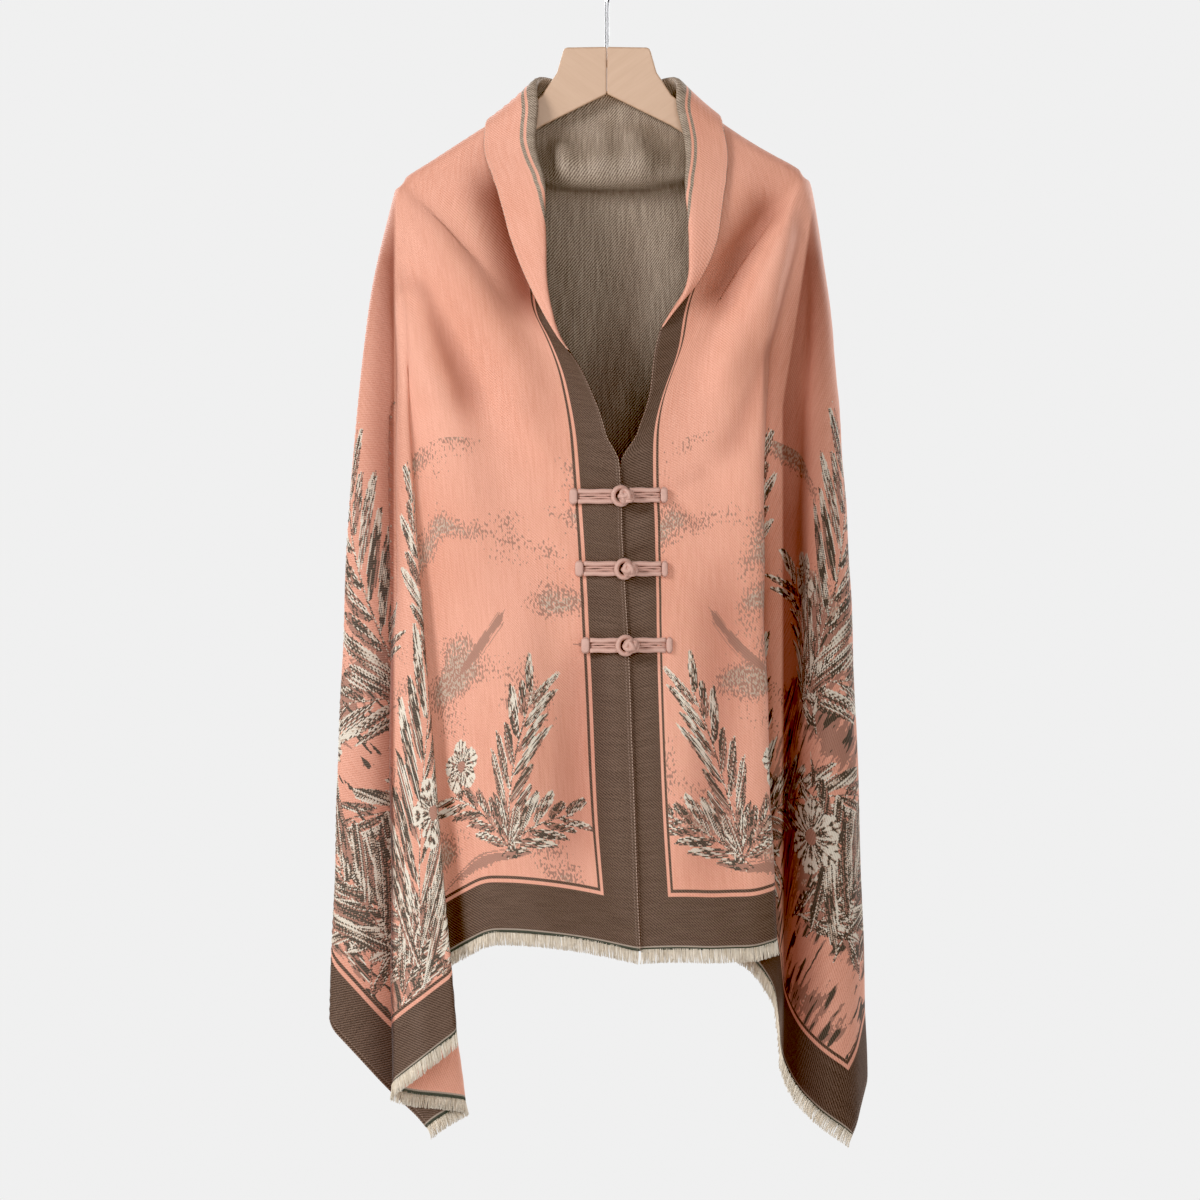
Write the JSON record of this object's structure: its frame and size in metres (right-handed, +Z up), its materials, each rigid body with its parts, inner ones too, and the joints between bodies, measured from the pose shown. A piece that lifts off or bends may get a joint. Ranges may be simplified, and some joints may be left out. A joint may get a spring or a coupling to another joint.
{
  "type": "fringed cloak shawl on a hanger",
  "caption": "Woven shawl worn as a cloak: turned collar, fronts closed edge to edge by corded frogs, pleated sides, short fringe, hanging on a wooden hanger.",
  "frame": {"origin": "inner top of the hook's bend, where the rail bears, in the middle plane of the hanger", "axes": "+Z up; +X to the right for someone who looks at the buttoned front; -Y out of the front toward that person"},
  "size_m": [0.5129, 0.2154, 1.1556],
  "materials": {
    "cloth": "soft two-sided weave, matt",
    "fringe": "short cream yarn ends",
    "cord": "satin-covered cord",
    "wood": "pale sanded hardwood, thin satin varnish",
    "steel": "polished round wire"
  },
  "bodies": {
    "root": {"collar_back": "cloth", "collar_left": "cloth", "collar_right": "cloth", "fringe_left": "fringe", "fringe_right": "fringe", "frog_lower_knot": "cord", "frog_lower_left_strap": "cord", "frog_lower_left_wrap": "cord", "frog_lower_right_strap": "cord", "frog_lower_right_wrap": "cord", "frog_middle_knot": "cord", "frog_middle_left_strap": "cord", "frog_middle_left_wrap": "cord", "frog_middle_right_strap": "cord", "frog_middle_right_wrap": "cord", "frog_upper_knot": "cord", "frog_upper_left_strap": "cord", "frog_upper_left_wrap": "cord", "frog_upper_right_strap": "cord", "frog_upper_right_wrap": "cord", "hanger_arm_left": "wood", "hanger_arm_right": "wood", "hanger_hook": "steel", "shawl_back": "cloth", "shawl_left": "cloth", "shawl_right": "cloth"}
  },
  "joints": []
}
